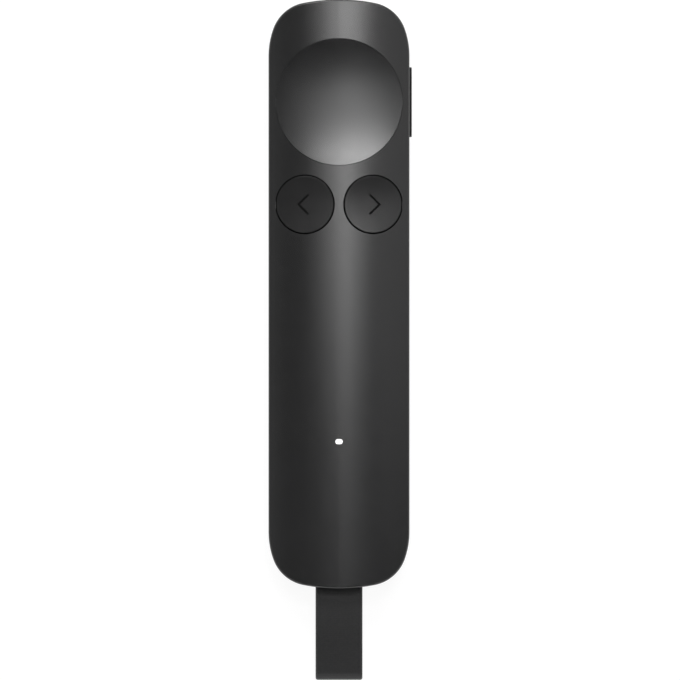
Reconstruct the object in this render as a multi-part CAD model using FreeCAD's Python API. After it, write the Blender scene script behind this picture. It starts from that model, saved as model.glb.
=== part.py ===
import FreeCAD, Part
import math
import os

# Wireless presentation clicker, lying on its back, in millimetres.
# X is across the body, +Y runs to the nose, +Z is up through the buttons.
# The origin is on the resting face of the back pad, under the middle of the body.

# Body
body_length = 125.3
body_width = 30.0
body_height = 13.0
flank_radius = 16.9
flank_turn = 20.0
corner_radius = 8.5
corner_turn = 79.0
crown_radius = 60.0
crown_edge_radius = 0.4
wall = 1.5
roof_wall = 1.5
floor_wall = 1.5
belly_flat = 0.4
tray_rise = 2.4
lip_rise = 0.8
lip_wall = 0.7
seam_gap = 0.15
seam_depth = 0.3

# Overrun of cuts, and clearances
overrun = 2.0
join_tolerance = 0.0001
shell_fit = 0.05
seat_fit = 0.05
thread_fit = 0.02
screw_play = 0.1
rest_gap = 0.1
step_gap = 0.3
board_gap = 0.25
bay_gap = 0.2

# Back pad
pad_proud = 0.3
pad_thickness = 0.8
pad_margin = 2.6
pad_edge_radius = 0.2

# Case screws and their bosses
nose_screw_cradle_gap = 1.9
nose_screw_inset = 7.35
tail_screw_bay_gap = 1.0
tail_screw_inset = 12.45
screw_boss_radius = 2.0
screw_foot_radius = 2.6
case_screw_head_radius = 1.5
case_screw_head_height = 0.75
case_screw_radius = 0.8
case_screw_length = 6.0
driver_slot_width = 0.4
driver_slot_depth = 0.35

# Large dished button
disc_nose_margin = 8.2
disc_side_margin = 1.43
disc_gap = 0.06
disc_edge_radius = 0.05
disc_skirt_depth = 2.8
disc_tab_reach = 0.9
disc_tab_half_width = 3.0
disc_travel = 0.35
disc_rib_width = 0.8
disc_rib_depth = 0.6
disc_rib_margin = 4.4
disc_boss_radius = 2.0
disc_dish_bend = 120.0
cap_edge_radius = 0.1

# Small dished buttons
small_side_margin = 1.42
small_button_space = 1.76
button_row_gap = 1.91
small_gap = 0.3
small_skirt_depth = 3.8
small_flange_reach = 0.75
small_flange_thickness = 0.6
small_dish_bend = 80.0
small_travel = 0.3
small_pocket_margin = 1.45
small_pocket_depth = 0.6
small_boss_radius = 1.3
collar_wall = 0.8
chevron_length = 1.97
chevron_height = 3.86
chevron_stroke = 0.46
chevron_depth = 0.15
chevron_offset = 0.41

# Side key
key_length = 14.9
key_height = 3.4
key_proud = 0.5
key_gap = 0.15
key_travel = 0.3
key_edge_radius = 0.2
key_flange_lip = 0.8
key_flange_thickness = 0.9
key_nub_half = 0.9

# Top switches
switch_side = 4.5
switch_height = 1.5
plunger_radius = 1.0
plunger_rise = 0.7
plunger_sink = 0.6

# Side switch
side_switch_depth = 2.8
side_switch_length = 6.0
side_switch_height = 2.0
side_plunger_length = 2.6
side_plunger_height = 1.0
side_plunger_rise = 0.8
side_plunger_sink = 0.9

# Main board and its screws
board_side_gap = 2.5
board_thickness = 0.8
board_standing = 3.4
board_laser_gap = 0.7
board_bay_gap = 0.85
board_corner_radius = 1.0
board_screw_side_gap = 1.8
board_screw_front_spacing = 9.85
board_screw_rear_spacing = 9.5
board_screw_head_radius = 1.3
board_screw_head_height = 0.7
board_screw_radius = 0.7
board_screw_length = 3.4

# Chips and small parts on the board: half width, half length and height
radio_chip_size = (3.0, 3.0, 0.8)
radio_shield_size = (6.6, 6.2, 1.6)
crystal_size = (1.6, 1.25, 0.7)
antenna_half_length = 1.0
antenna_height = 1.1
motion_sensor_size = (1.5, 1.25, 0.9)
charger_chip_size = (1.5, 1.5, 0.75)
led_size = (0.8, 0.4, 0.6)
resistor_size = (0.5, 0.25, 0.4)
shield_wall = 0.2
radio_offset = 4.125
crystal_spacing = 4.5
antenna_side_gap = 2.0
antenna_switch_gap = 1.55
antenna_edge_gap = 0.5
sensor_side_gap = 5.5
charger_side_gap = 4.8
charger_spacing = 4.0
resistor_pitch_x = 1.6
resistor_pitch_y = 1.2
resistor_columns = 3
resistor_rows = 5
resistor_side_gap = 2.0
resistor_spacing = 11.4

# Light pipe over the status light
light_inset = 31.25
pipe_half_length = 0.72
pipe_half_width = 0.48
pipe_flange_reach = 0.6
pipe_flange_height = 1.0
pipe_gap = 0.15

# Charge port
port_side_play = 0.045
port_play = 0.08
port_wall = 0.3
port_depth = 7.35
port_base = 1.0
port_rise = 0.7
port_tongue_width = 6.69
port_tongue_thickness = 0.7
port_tongue_length = 5.6
port_tab_length = 1.5
port_tab_width = 1.2
port_tab_inset = 1.8

# Receiver bay in the tail
bay_wall = 0.8
bay_length = 14.8
bay_foot_width = 1.0
bay_foot_x = 5.0

# Receiver
receiver_strap_margin = 1.3
receiver_height = 6.0
receiver_corner_radius = 1.5
receiver_wall = 0.8
receiver_bulkhead = 1.0
receiver_front_thickness = 1.0
receiver_board_side_gap = 0.3
receiver_board_end_gap = 0.4
receiver_board_thickness = 0.8
receiver_chip_half_width = 2.0
receiver_chip_height = 0.8
receiver_chip_end_gap = 1.0
plug_width = 8.25
plug_height = 2.4
plug_wall = 0.3
plug_reach = 6.65
plug_tail = 1.4
plug_slot_depth = 5.9
tongue_side_play = 0.105
tongue_play = 0.11

# Strap and its pin
strap_width = 10.0
strap_thickness = 1.0
strap_layer_gap = 0.1
strap_reach = 19.66
strap_blend_radius = 3.0
strap_fold_radius = 1.85
strap_droop_radius = 60.0
strap_droop_turn = 12.0
strap_straight = 0.4
strap_slot_depth = 5.45
strap_slot_side_play = 0.3
strap_slot_play = 0.15
pin_radius = 0.7
pin_bury = 0.6

# Chassis
chassis_side_gap = 1.6
chassis_rail = 1.6
chassis_board_reach = 1.2
chassis_bay_gap = 1.55
chassis_front_bar = 5.0
chassis_middle_bar = 5.5
chassis_tail_bar = 3.0
chassis_tail_bar_drop = 0.7
chassis_post_radius = 1.8
cradle_half_width = 4.6
cradle_length = 8.6
cradle_setback = 0.8
cradle_neck_height = 1.0

# Laser module
laser_height = 6.2
window_radius = 2.4
barrel_radius = 3.0
barrel_bore_radius = 2.5
barrel_length = 9.9
barrel_nose_gap = 0.25
lens_thickness = 1.2
lens_setback = 0.8
diode_flange_thickness = 1.2
diode_can_radius = 1.7
diode_can_length = 2.2
diode_pin_radius = 0.2
diode_pin_length = 0.9
diode_pin_x = 1.2
driver_half_width = 1.9
driver_length = 4.3
driver_thickness = 0.8
driver_inside = 1.0
laser_lead_radius = 0.25
laser_lead_x = 1.0
laser_lead_rise = 0.9
laser_lead_bend = 0.5
laser_lead_inset = 0.6

# Battery, its board, plug-in leads and connector
battery_side_gap = 0.4
battery_top_gap = 0.25
battery_end_gap = 1.5
battery_corner_radius = 1.2
adhesive_thickness = 0.15
adhesive_margin = 2.0
protection_side_gap = 1.9
protection_length = 3.2
protection_thickness = 0.8
connector_size = (2.2, 1.6, 1.8)
connector_tail_gap = 6.0
connector_post_gap = 1.2
battery_lead_radius = 0.35
battery_lead_x = 0.9
battery_lead_length = 3.2
battery_lead_straight = 0.9
battery_lead_bend = 0.8

# Haptic motor
haptic_radius = 4.0
haptic_top_gap = 0.55
haptic_pad_margin = 0.6
haptic_lead_radius = 0.2
haptic_lead_bend = 0.6
haptic_lead_x = 0.8
haptic_lead_reach = 1.0

# Directions
ACROSS = FreeCAD.Vector(1, 0, 0)
ALONG = FreeCAD.Vector(0, 1, 0)
UP = FreeCAD.Vector(0, 0, 1)

# Levels and stations worked out from the sizes above
nose_y = body_length / 2
tail_y = -nose_y
belly_z = pad_proud
floor_z = belly_z + floor_wall
parting_z = belly_z + tray_rise
belly_radius = tray_rise - belly_flat
lip_top_z = parting_z + lip_rise
lip_inset = wall - lip_wall
crown_axis_z = body_height - crown_radius
roof_radius = crown_radius - roof_wall
disc_hole_radius = body_width / 2 - disc_side_margin
disc_y = nose_y - disc_nose_margin - disc_hole_radius
disc_radius = disc_hole_radius - disc_gap
disc_rib_radius = disc_radius - disc_rib_margin
disc_floor_z = body_height - disc_skirt_depth
small_hole_radius = (body_width / 2 - small_side_margin - small_button_space / 2) / 2
small_button_x = small_button_space / 2 + small_hole_radius
small_y = disc_y - disc_hole_radius - button_row_gap - small_hole_radius
small_radius = small_hole_radius - small_gap
small_pocket_radius = small_radius - small_pocket_margin
small_floor_z = body_height - small_skirt_depth
small_flange_z = small_floor_z + small_flange_thickness
inner_half_width = body_width / 2 - wall
board_half_width = inner_half_width - board_side_gap
board_screw_x = board_half_width - board_screw_side_gap
board_bottom_z = floor_z + board_standing
board_top_z = board_bottom_z + board_thickness
switch_top_z = board_top_z + switch_height
plunger_top_z = switch_top_z + plunger_rise
key_z = board_top_z + side_switch_height / 2
key_inner_x = inner_half_width - rest_gap - key_flange_thickness
side_plunger_tip_x = board_half_width + side_plunger_rise
axis_z = board_top_z + port_rise
port_width = plug_width + 2 * port_side_play
port_height = plug_height + 2 * port_play
plug_slot_width = port_tongue_width + 2 * tongue_side_play
plug_slot_height = port_tongue_thickness + 2 * tongue_play
bay_end_y = tail_y + wall + bay_length
receiver_width = strap_width + 2 * receiver_strap_margin
bay_half_width = receiver_width / 2 + bay_gap
bay_half_height = receiver_height / 2 + bay_gap
bay_corner_radius = receiver_corner_radius + bay_gap
port_mouth_y = bay_end_y + seat_fit
port_back_y = port_mouth_y + port_depth
receiver_front_y = bay_end_y - bay_wall - bay_gap
plug_tip_y = receiver_front_y + plug_reach
plug_rear_y = receiver_front_y - receiver_front_thickness - plug_tail
board_tail_y = bay_end_y + board_bay_gap
strap_slot_y = tail_y + strap_slot_depth
receiver_board_front_y = plug_rear_y - seat_fit
receiver_board_rear_y = strap_slot_y + receiver_bulkhead + receiver_board_end_gap
receiver_board_half_width = receiver_width / 2 - receiver_wall - receiver_board_side_gap
strap_slot_half_height = pin_radius + seat_fit + strap_thickness + strap_slot_play
pin_y = strap_slot_y - strap_slot_side_play - pin_radius - seat_fit - strap_thickness
screw_seat_z = pad_thickness + seat_fit + case_screw_head_height
nose_screw_x = cradle_half_width + nose_screw_cradle_gap + screw_boss_radius
tail_screw_x = bay_half_width + bay_wall + tail_screw_bay_gap + screw_boss_radius
light_y = tail_y + light_inset
barrel_front_y = nose_y - wall - barrel_nose_gap
barrel_rear_y = barrel_front_y - barrel_length
driver_front_y = barrel_rear_y + driver_inside
driver_rear_y = driver_front_y - driver_length
driver_top_z = laser_height + driver_thickness / 2
board_nose_y = driver_rear_y - board_laser_gap
chassis_nose_y = board_nose_y + chassis_board_reach
chassis_tail_y = bay_end_y + chassis_bay_gap
chassis_half_width = inner_half_width - chassis_side_gap
bar_half_width = chassis_half_width - chassis_rail
haptic_y = (disc_y + small_y) / 2
haptic_z = floor_z + adhesive_thickness
haptic_thickness = board_bottom_z - haptic_top_gap - haptic_z
connector_x = board_screw_x - chassis_post_radius - connector_post_gap - connector_size[0]
connector_middle_z = board_bottom_z - connector_size[2] / 2
connector_middle_y = chassis_tail_y + chassis_tail_bar + connector_tail_gap + connector_size[1]
connector_front_y = connector_middle_y + connector_size[1]
protection_rear_y = connector_front_y + battery_lead_length
battery_rear_y = protection_rear_y + protection_length + rest_gap
battery_front_y = small_y - chassis_middle_bar / 2 - battery_end_gap
battery_middle_y = (battery_front_y + battery_rear_y) / 2
battery_half_length = (battery_front_y - battery_rear_y) / 2
battery_half_width = bar_half_width - battery_side_gap
battery_z = floor_z + adhesive_thickness
battery_thickness = board_bottom_z - battery_top_gap - battery_z
battery_middle_z = battery_z + battery_thickness / 2
radio_y = (small_y + light_y) / 2 + radio_offset

case_screw_places = [
    (side * x, y)
    for x, y in ((nose_screw_x, nose_y - nose_screw_inset), (tail_screw_x, tail_y + tail_screw_inset))
    for side in (-1, 1)
]
board_screw_places = [
    (side * board_screw_x, y)
    for y in (small_y + board_screw_front_spacing, board_tail_y + board_screw_rear_spacing)
    for side in (-1, 1)
]


def vec(x, y, z):
    """A point or a direction."""
    return FreeCAD.Vector(x, y, z)


def block(x0, x1, y0, y1, z0, z1):
    """Box between two corners."""
    return Part.makeBox(x1 - x0, y1 - y0, z1 - z0, vec(x0, y0, z0))


def post(radius, x, y, z0, z1):
    """Upright round bar."""
    return Part.makeCylinder(radius, z1 - z0, vec(x, y, z0), UP)


def long_rod(radius, x, z, y0, y1):
    """Round bar lying along the body."""
    return Part.makeCylinder(radius, y1 - y0, vec(x, y0, z), ALONG)


def arc_points(centre, across, up, radius, start, finish):
    """First, middle and last point of an arc, with its angles in radians."""
    points = []
    for angle in (start, (start + finish) / 2, finish):
        points.append(centre + across * (radius * math.cos(angle)) + up * (radius * math.sin(angle)))
    return points


def closed_face(arcs):
    """Face whose rim is a loop of arcs, joined by straight edges where they lie apart."""
    edges = []
    for number, points in enumerate(arcs):
        following = arcs[(number + 1) % len(arcs)][0]
        edges.append(Part.Arc(*points).toShape())
        if not points[-1].isEqual(following, join_tolerance):
            edges.append(Part.LineSegment(points[-1], following).toShape())
    return Part.Face(Part.Wire(edges))


def rounded_face(centre, across, up, half_across, half_up, radius):
    """Rectangle with round corners, in the plane of two directions."""
    radius = min(radius, half_across, half_up)
    arcs = []
    for quarter, (side, level) in enumerate(((1, 1), (-1, 1), (-1, -1), (1, -1))):
        middle = centre + across * (side * (half_across - radius)) + up * (level * (half_up - radius))
        start = quarter * math.pi / 2
        arcs.append(arc_points(middle, across, up, radius, start, start + math.pi / 2))
    return closed_face(arcs)


def long_bar(half_width, half_height, radius, y0, y1):
    """Bar of rounded section lying along the body on the receiver's axis."""
    face = rounded_face(vec(0, y0, axis_z), ACROSS, UP, half_width, half_height, radius)
    return face.extrude(ALONG * (y1 - y0))


def plate(x, y, half_width, half_length, radius, z0, z1):
    """Flat plate with round corners."""
    face = rounded_face(vec(x, y, z0), ACROSS, ALONG, half_width, half_length, radius)
    return face.extrude(UP * (z1 - z0))


def outline(inset, z):
    """The body's plan shape drawn in by an inset: three tangent arcs in each quarter."""
    flank_angle = math.radians(flank_turn)
    corner_angle = math.radians(corner_turn)
    flank_x = body_width / 2 - flank_radius
    corner_x = flank_x + (flank_radius - corner_radius) * math.cos(flank_angle)
    end_radius = corner_radius + corner_x / math.cos(corner_angle)
    end_y = nose_y - end_radius
    corner_y = end_y + (end_radius - corner_radius) * math.sin(corner_angle)
    flank_y = corner_y - (flank_radius - corner_radius) * math.sin(flank_angle)
    spans = (
        (flank_x, flank_y, flank_radius, 0, flank_angle),
        (corner_x, corner_y, corner_radius, flank_angle, corner_angle),
        (0, end_y, end_radius, corner_angle, math.pi - corner_angle),
        (-corner_x, corner_y, corner_radius, math.pi - corner_angle, math.pi - flank_angle),
        (-flank_x, flank_y, flank_radius, math.pi - flank_angle, math.pi),
    )
    arcs = []
    for end in (1, -1):
        for x, y, radius, start, finish in spans:
            centre = vec(end * x, end * y, z)
            arcs.append(arc_points(centre, ACROSS * end, ALONG * end, radius - inset, start, finish))
    return closed_face(arcs)


def prism(inset, z0, z1):
    """Upright solid with the body's plan shape drawn in by an inset."""
    return outline(inset, z0).extrude(UP * (z1 - z0))


def ring(inset, depth, z0, z1):
    """Rim of the body's plan shape, from an inset inwards by a depth."""
    return prism(inset, z0, z1).cut(prism(inset + depth, z0 - overrun, z1 + overrun))


def crown(radius):
    """Round bar along the body, under the crown or under the roof."""
    return long_rod(radius, 0, crown_axis_z, tail_y - overrun, nose_y + overrun)


def roof_z(x):
    """Height of the roof's underside at a distance from the middle."""
    return crown_axis_z + math.sqrt(roof_radius**2 - x**2)


def dish_depth(radius, bend):
    """Depth under the crown of the middle of a dish that meets the crown all round a button's rim."""
    bulge = crown_radius - math.sqrt(crown_radius**2 - radius**2)
    return bulge - radius**2 / (2 * crown_radius) + radius**2 / (2 * bend)


def dish(x, y, radius, bend):
    """Block over a button whose underside is its dish: the crown, sunk by a round bowl.

    Along the body it rises with the bowl's bend, and across it falls as the crown less the bowl.
    """
    reach = radius + overrun
    level_z = body_height - dish_depth(radius, bend)
    along = reach**2 / (2 * bend)
    across = reach**2 / (2 * crown_radius) - along
    surface = Part.BezierSurface()
    surface.increase(2, 2)
    for row, u in enumerate((-1, 0, 1)):
        for column, v in enumerate((-1, 0, 1)):
            pole_z = level_z + (along if v else -along) - (across if u else -across)
            surface.setPole(row + 1, column + 1, vec(u * reach, y + v * reach, pole_z))
    spans = 16
    knots = [span / spans for span in range(1, spans)]
    bowl = surface.toBSpline()
    bowl.insertUKnots(knots, [1] * len(knots), join_tolerance, True)
    bowl.insertVKnots(knots, [1] * len(knots), join_tolerance, True)
    over = bowl.toShape().extrude(UP * (disc_skirt_depth + overrun))
    over.rotate(vec(0, 0, crown_axis_z), ALONG, math.degrees(math.asin(x / crown_radius)))
    return over


def on_crown(shape):
    """The edges round the crowned face of a solid."""
    return max(shape.Faces, key=lambda face: face.CenterOfMass.z).Edges


def bay_mouth(inner_y):
    """Space of the receiver bay, from outside the tail to an inner end."""
    return long_bar(bay_half_width, bay_half_height, bay_corner_radius, tail_y - overrun, inner_y)


def key_shape(margin, x0, x1):
    """The side key's section with a margin, between two stations across the body."""
    half_height = key_height / 2 + margin
    face = rounded_face(vec(x0, disc_y, key_z), ALONG, UP, key_length / 2 + margin, half_height, half_height)
    return face.extrude(ACROSS * (x1 - x0))


def top_shell():
    """Crowned shell with the button holes, the key slot, the laser hole and the bay mouth."""
    outer = prism(0, parting_z, body_height).common(crown(crown_radius))
    outer = outer.makeFillet(crown_edge_radius, on_crown(outer))
    hollow = prism(wall, parting_z - overrun, body_height).common(crown(roof_radius))
    kept = []
    for x, y in case_screw_places:
        kept.append(post(screw_boss_radius, x, y, parting_z - 2 * overrun, body_height))
    for side in (-1, 1):
        collar_radius = small_hole_radius + collar_wall
        kept.append(post(collar_radius, side * small_button_x, small_y, small_flange_z + rest_gap, body_height))
    shell = outer.cut(hollow.cut(kept))
    cuts = [
        ring(lip_inset - shell_fit, lip_wall + shell_fit, parting_z - overrun, lip_top_z + shell_fit),
        ring(-overrun, overrun + seam_depth, parting_z - overrun, parting_z + seam_gap),
        post(disc_hole_radius, 0, disc_y, disc_floor_z - disc_travel - step_gap, body_height + overrun),
        key_shape(key_gap, key_inner_x, body_width / 2 + overrun),
        key_shape(key_flange_lip + key_gap, key_inner_x - overrun, inner_half_width),
        long_rod(window_radius + seat_fit, 0, laser_height, nose_y - wall - overrun, nose_y + overrun),
        bay_mouth(tail_y + wall + overrun),
        plate(
            0,
            light_y,
            pipe_half_length + seat_fit,
            pipe_half_width + seat_fit,
            pipe_half_width + seat_fit,
            body_height - roof_wall - overrun,
            body_height + overrun,
        ),
    ]
    foot_z = small_floor_z - small_travel - step_gap
    for side in (-1, 1):
        x = side * small_button_x
        cuts.append(post(small_hole_radius, x, small_y, foot_z, body_height + overrun))
    for x, y in case_screw_places:
        tip_z = screw_seat_z + case_screw_length + step_gap
        cuts.append(post(case_screw_radius + thread_fit, x, y, parting_z - overrun, tip_z))
    return shell.cut(cuts)


def bottom_shell():
    """Shallow tray with a lap lip, the screw feet and the recess of the back pad."""
    tray = prism(0, belly_z, parting_z)
    low = [edge for edge in tray.Edges if edge.BoundBox.ZMax < belly_z + join_tolerance]
    tray = tray.makeFillet(belly_radius, low)
    tray = tray.fuse(prism(lip_inset, parting_z, lip_top_z))
    hollow = prism(wall, floor_z, lip_top_z + overrun)
    feet = [post(screw_foot_radius, x, y, floor_z - overrun, parting_z) for x, y in case_screw_places]
    hollow = hollow.cut(feet)
    cuts = [hollow, prism(pad_margin, belly_z - overrun, pad_thickness), bay_mouth(bay_end_y - bay_wall)]
    for x, y in case_screw_places:
        cuts.append(post(case_screw_head_radius + screw_play, x, y, pad_thickness - overrun, screw_seat_z))
        cuts.append(post(case_screw_radius + screw_play, x, y, belly_z, parting_z + overrun))
    return tray.cut(cuts).removeSplitter()


def back_pad():
    """Soft sheet under the back, which hides the screws."""
    pad = prism(pad_margin + seat_fit, 0, pad_thickness)
    low = [edge for edge in pad.Edges if edge.BoundBox.ZMax < join_tolerance]
    return pad.makeFillet(pad_edge_radius, low)


def screw(x, y, seat_z, end, head_radius, head_height, radius, length):
    """Screw with a cross in its head; end is 1 where it points up and -1 where it points down."""
    low, high = sorted((seat_z, seat_z - end * head_height))
    head = post(head_radius, x, y, low, high)
    low, high = sorted((seat_z - end * head_height / 2, seat_z + end * length))
    body = head.fuse(post(radius, x, y, low, high))
    outer_z = seat_z - end * head_height
    low, high = sorted((outer_z - end * overrun, outer_z + end * driver_slot_depth))
    half = driver_slot_width / 2
    reach = head_radius / 2
    cross = block(x - reach, x + reach, y - half, y + half, low, high)
    return body.cut([cross, block(x - half, x + half, y - reach, y + reach, low, high)])


def case_screws():
    """Four screws from the back into the top shell."""
    sizes = (case_screw_head_radius, case_screw_head_height, case_screw_radius, case_screw_length)
    return Part.makeCompound([screw(x, y, screw_seat_z, 1, *sizes) for x, y in case_screw_places])


def board_screws():
    """Four screws that hold the main board on the chassis."""
    sizes = (board_screw_head_radius, board_screw_head_height, board_screw_radius, board_screw_length)
    return Part.makeCompound([screw(x, y, board_top_z, -1, *sizes) for x, y in board_screw_places])


def pointer_button():
    """Large dished cap with its holding tabs, ribs and the boss over its switch."""
    cap = post(disc_radius, 0, disc_y, disc_floor_z, body_height + overrun)
    cap = cap.cut(dish(0, disc_y, disc_radius, disc_dish_bend))
    cap = soften_rim(cap, disc_edge_radius)
    tab_z = roof_z(disc_tab_half_width) - rest_gap
    reach = disc_radius + disc_tab_reach
    tabs = post(reach, 0, disc_y, disc_floor_z, tab_z)
    tabs = tabs.common(
        block(-disc_tab_half_width, disc_tab_half_width, disc_y - reach, disc_y + reach, disc_floor_z, tab_z)
    )
    half = disc_rib_width / 2
    rib_z = disc_floor_z - disc_rib_depth
    added = [
        tabs,
        block(-disc_rib_radius, disc_rib_radius, disc_y - half, disc_y + half, rib_z, disc_floor_z),
        block(-half, half, disc_y - disc_rib_radius, disc_y + disc_rib_radius, rib_z, disc_floor_z),
        post(disc_boss_radius, 0, disc_y, plunger_top_z, disc_floor_z),
    ]
    return cap.fuse(added).removeSplitter()


def soften_rim(cap, radius):
    """Take the sharp edge off a cap's dished rim."""
    hollow = max(cap.Faces, key=lambda face: face.BoundBox.ZMin)
    return cap.makeFillet(radius, hollow.Edges)


def small_button(side):
    """Small dished cap on a flange, with an engraved chevron that points away from the middle."""
    x = side * small_button_x
    cap = post(small_radius, x, small_y, small_floor_z, body_height + overrun)
    cap = cap.cut(dish(x, small_y, small_radius, small_dish_bend))
    cap = soften_rim(cap, cap_edge_radius)
    reach = small_radius + small_flange_reach
    half = inner_half_width - rest_gap
    flange = post(reach, x, small_y, small_floor_z, small_flange_z)
    flange = flange.common(block(-half, half, small_y - reach, small_y + reach, small_floor_z, small_flange_z))
    cap = cap.fuse(flange)
    cap = cap.cut(post(small_pocket_radius, x, small_y, small_floor_z, small_floor_z + small_pocket_depth))
    cap = cap.fuse(post(small_boss_radius, x, small_y, plunger_top_z, small_floor_z + small_pocket_depth))
    return cap.cut(chevron(side)).removeSplitter()


def chevron(side):
    """Two strokes that meet in a point, sunk square to the dish."""
    lean = math.asin(side * small_button_x / crown_radius)
    normal = vec(math.sin(lean), 0, math.cos(lean))
    across = vec(math.cos(lean), 0, -math.sin(lean))
    sunk = crown_radius - dish_depth(small_radius, small_dish_bend) - chevron_depth
    middle = vec(0, small_y, crown_axis_z) + normal * sunk + across * (side * chevron_offset)
    tip = middle + across * (side * chevron_length / 2)
    strokes = []
    for end in (-1, 1):
        tail = middle - across * (side * chevron_length / 2) + ALONG * (end * chevron_height / 2)
        run = tail - tip
        direction = run * (1 / run.Length)
        half = chevron_stroke / 2
        face = rounded_face(
            (tip + tail) * 0.5, direction, normal.cross(direction), run.Length / 2 + half, half, half
        )
        strokes.append(face.extrude(normal * overrun))
    return strokes


def side_button():
    """Key through the right flank, with a flange inside and a nub on its switch."""
    outer_x = body_width / 2 + key_proud
    key = key_shape(0, key_inner_x, outer_x)
    rim = [edge for edge in key.Edges if edge.BoundBox.XMin > outer_x - join_tolerance]
    key = key.makeFillet(key_edge_radius, rim)
    flange = key_shape(key_flange_lip, key_inner_x, key_inner_x + key_flange_thickness)
    half = key_nub_half
    nub = block(side_plunger_tip_x, key_inner_x, disc_y - half, disc_y + half, key_z - half, key_z + half)
    return key.fuse([flange, nub]).removeSplitter()


def switch(x, y, travel):
    """Base of a push switch, with the well of its plunger."""
    half = switch_side / 2
    base = block(x - half, x + half, y - half, y + half, board_top_z, switch_top_z)
    well_z = max(switch_top_z - plunger_sink - travel - step_gap, board_top_z + join_tolerance)
    return base.cut(post(plunger_radius + seat_fit, x, y, well_z, switch_top_z + overrun))


def plunger(x, y):
    """Plunger of a push switch, under its button's boss."""
    return post(plunger_radius, x, y, switch_top_z - plunger_sink, plunger_top_z)


def side_switch():
    """Base of the sideways switch at the board's edge."""
    half = side_switch_length / 2
    x0 = board_half_width - side_switch_depth
    top_z = board_top_z + side_switch_height
    base = block(x0, board_half_width, disc_y - half, disc_y + half, board_top_z, top_z)
    half = side_plunger_length / 2 + seat_fit
    level = side_plunger_height / 2 + seat_fit
    well_x = board_half_width - side_plunger_sink - key_travel - step_gap
    outer_x = board_half_width + overrun
    return base.cut(block(well_x, outer_x, disc_y - half, disc_y + half, key_z - level, key_z + level))


def side_switch_plunger():
    """Plunger of the sideways switch, behind the key's nub."""
    half = side_plunger_length / 2
    level = side_plunger_height / 2
    x0 = board_half_width - side_plunger_sink
    return block(x0, side_plunger_tip_x, disc_y - half, disc_y + half, key_z - level, key_z + level)


def main_board():
    """Circuit board with a notch round the charge port."""
    middle = (board_nose_y + board_tail_y) / 2
    half_length = (board_nose_y - board_tail_y) / 2
    board = plate(0, middle, board_half_width, half_length, board_corner_radius, board_bottom_z, board_top_z)
    notch = port_width / 2 + port_wall + board_gap
    low = board_bottom_z - overrun
    high = board_top_z + overrun
    cuts = [block(-notch, notch, board_tail_y - overrun, port_back_y + board_gap, low, high)]
    for x, y in board_screw_places:
        cuts.append(post(board_screw_radius + seat_fit, x, y, low, high))
    return board.cut(cuts)


def chip(size, x, y, z):
    """Flat box for a component, from its half width, half length and height."""
    half_width, half_length, height = size
    return block(x - half_width, x + half_width, y - half_length, y + half_length, z, z + height)


def radio_shield():
    """Pressed can over the radio chip and its crystal, open below."""
    half_width, half_length, height = radio_shield_size
    inner = (half_width - shield_wall, half_length - shield_wall, height - shield_wall)
    return chip(radio_shield_size, 0, radio_y, board_top_z).cut(chip(inner, 0, radio_y, board_top_z))


def small_components():
    """Resistors and capacitors in rows beside the charger."""
    parts = []
    for row in range(resistor_rows):
        y = light_y + resistor_spacing - row * resistor_pitch_y
        for column in range(resistor_columns):
            x = resistor_side_gap - board_half_width + column * resistor_pitch_x
            parts.append(chip(resistor_size, x, y, board_top_z))
    return Part.makeCompound(parts)


def light_pipe():
    """Clear bar from the status light up to the crown, with a flange under the roof."""
    foot_z = board_top_z + led_size[2] + pipe_gap
    stem = plate(0, light_y, pipe_half_length, pipe_half_width, pipe_half_width, foot_z, body_height)
    half_length = pipe_half_length + pipe_flange_reach
    half_width = pipe_half_width + pipe_flange_reach
    flange_z = roof_z(half_length) - rest_gap
    flange = plate(
        0, light_y, half_length, half_width, half_width, flange_z - pipe_flange_height, flange_z
    )
    return stem.common(crown(crown_radius)).fuse(flange)


def laser_window():
    """Clear disc in the nose, flush with it."""
    disc = long_rod(window_radius, 0, laser_height, nose_y - wall, nose_y + overrun)
    return disc.common(prism(0, 0, body_height))


def laser_barrel():
    """Brass tube of the laser module."""
    tube = long_rod(barrel_radius, 0, laser_height, barrel_rear_y, barrel_front_y)
    bore = long_rod(barrel_bore_radius, 0, laser_height, barrel_rear_y - overrun, barrel_front_y + overrun)
    return tube.cut(bore)


def laser_lens():
    """Lens near the barrel's mouth."""
    front = barrel_front_y - lens_setback
    return long_rod(barrel_bore_radius - seat_fit, 0, laser_height, front - lens_thickness, front)


def laser_diode():
    """Laser diode: a flange, a can and two legs over its driver board."""
    flange_y = driver_front_y + seat_fit
    can_y = flange_y + diode_flange_thickness
    body = long_rod(barrel_bore_radius - seat_fit, 0, laser_height, flange_y, can_y)
    leg_z = driver_top_z + diode_pin_radius + seat_fit
    parts = [long_rod(diode_can_radius, 0, laser_height, flange_y, can_y + diode_can_length)]
    leg_y = flange_y - diode_pin_length
    for side in (-1, 1):
        parts.append(long_rod(diode_pin_radius, side * diode_pin_x, leg_z, leg_y, can_y))
    return body.fuse(parts).removeSplitter()


def laser_driver_board():
    """Small board that stands out of the barrel's rear."""
    level = driver_thickness / 2
    return block(
        -driver_half_width,
        driver_half_width,
        driver_rear_y,
        driver_front_y,
        laser_height - level,
        laser_height + level,
    )


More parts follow.
